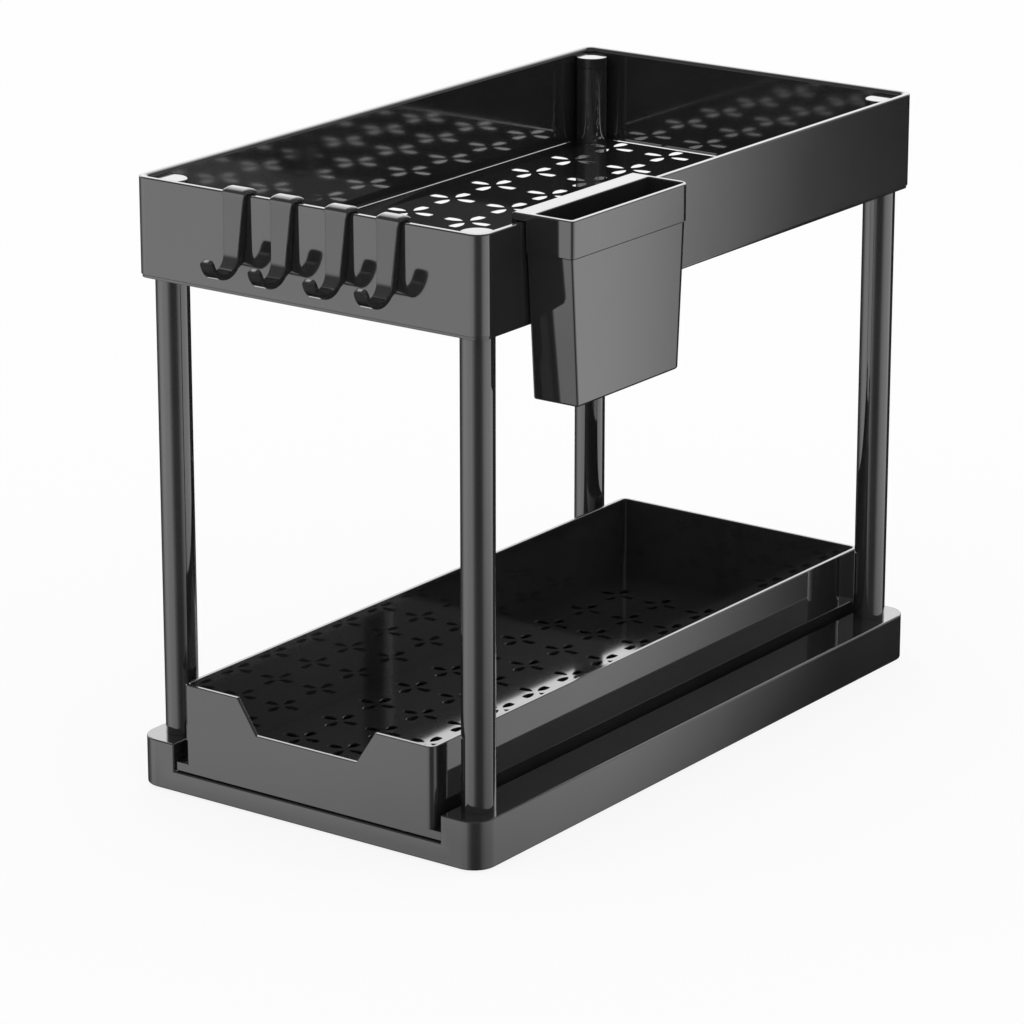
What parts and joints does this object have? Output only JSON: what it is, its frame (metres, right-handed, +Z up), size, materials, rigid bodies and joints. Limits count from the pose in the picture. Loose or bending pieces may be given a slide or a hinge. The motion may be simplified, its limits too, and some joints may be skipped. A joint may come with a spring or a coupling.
{
  "type": "under sink organizer",
  "caption": "Cabinet organizer: low base with pull-out drawer, tube legs, perforated upper tray, side-hung cup and rim hooks.",
  "frame": {"origin": "centre of the underside, on the surface that the organizer stands on", "axes": "+X to the right seen from the front, +Y towards the back, +Z up; the drawer pulls out along -Y"},
  "size_m": [0.2375, 0.4116, 0.3154],
  "materials": {
    "black_plastic": "high gloss",
    "foot_rubber": "matt"
  },
  "bodies": {
    "frame": {"base_frame": "black_plastic", "leg_front_left": "black_plastic", "leg_front_right": "black_plastic", "leg_back_left": "black_plastic", "leg_back_right": "black_plastic", "tray_floor": "black_plastic", "upper_tray": "black_plastic", "cap_front_left": "black_plastic", "cap_front_right": "black_plastic", "cap_back_left": "black_plastic", "cap_back_right": "black_plastic", "foot_front_left": "foot_rubber", "foot_front_right": "foot_rubber", "foot_back_left": "foot_rubber", "foot_back_right": "foot_rubber", "foot_centre": "foot_rubber"},
    "drawer_body": {"drawer": "black_plastic", "drawer_floor": "black_plastic"},
    "cup_body": {"side_cup": "black_plastic"},
    "hook_1_body": {"hook_1": "black_plastic"},
    "hook_2_body": {"hook_2": "black_plastic"},
    "hook_3_body": {"hook_3": "black_plastic"},
    "hook_4_body": {"hook_4": "black_plastic"}
  },
  "joints": [
    {"name": "drawer_slide", "type": "slide", "parent": "frame", "child": "drawer_body", "axis": [0, -1, 0], "range_m": [0, 0.25]},
    {"name": "cup_lift", "type": "slide", "parent": "frame", "child": "cup_body", "axis": [0, 0, 1], "range_m": [0, 0.1]},
    {"name": "hook_1_lift", "type": "slide", "parent": "frame", "child": "hook_1_body", "axis": [0, 0, 1], "range_m": [0, 0.045]},
    {"name": "hook_2_lift", "type": "slide", "parent": "frame", "child": "hook_2_body", "axis": [0, 0, 1], "range_m": [0, 0.045]},
    {"name": "hook_3_lift", "type": "slide", "parent": "frame", "child": "hook_3_body", "axis": [0, 0, 1], "range_m": [0, 0.045]},
    {"name": "hook_4_lift", "type": "slide", "parent": "frame", "child": "hook_4_body", "axis": [0, 0, 1], "range_m": [0, 0.045]}
  ]
}
